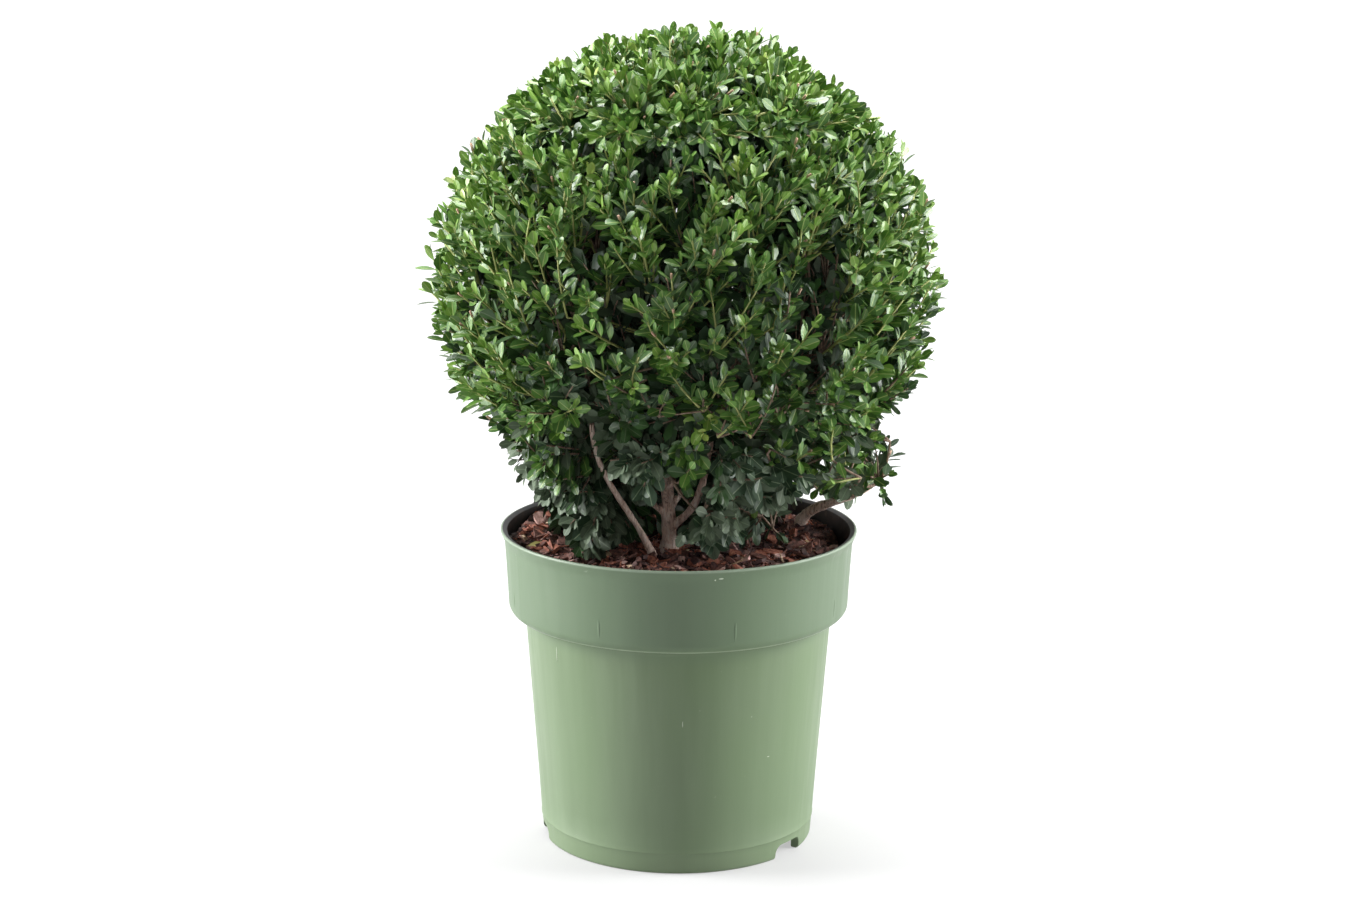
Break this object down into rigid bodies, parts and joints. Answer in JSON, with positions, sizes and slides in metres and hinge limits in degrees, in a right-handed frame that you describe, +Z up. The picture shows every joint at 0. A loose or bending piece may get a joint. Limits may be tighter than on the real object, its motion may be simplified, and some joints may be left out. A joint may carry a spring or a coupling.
{
  "type": "potted Japanese holly",
  "caption": "Potted Japanese holly clipped to a dense ball, in a pale green plastic nursery pot filled with bark mulch.",
  "frame": {"origin": "on the pot's axis at its flat underside", "axes": "+Z up, -Y towards the viewer who stands in front"},
  "size_m": [0.3926, 0.3967, 0.6382],
  "materials": {
    "pot_plastic": "satin moulded plastic, black inside",
    "bark_mulch": "moist shredded bark",
    "bark": "rough bark",
    "foliage": "small glossy leaves"
  },
  "bodies": {
    "root": {"pot": "pot_plastic", "mulch": "bark_mulch", "trunk": "bark", "stem_left": "bark", "stem_right": "bark", "bough_top": "bark", "bough_front": "bark", "bough_right": "bark", "bough_back_right": "bark", "bough_back": "bark", "bough_back_left": "bark", "bough_skirt_front": "bark", "bough_skirt_left": "bark", "bough_skirt_back_left": "bark", "bough_skirt_back_right": "bark", "crown_top": "foliage", "crown_front": "foliage", "crown_right": "foliage", "crown_back_right": "foliage", "crown_back": "foliage", "crown_back_left": "foliage", "crown_left": "foliage", "skirt_front": "foliage", "skirt_right": "foliage", "skirt_back_right": "foliage", "skirt_back_left": "foliage", "skirt_left": "foliage"}
  },
  "joints": []
}
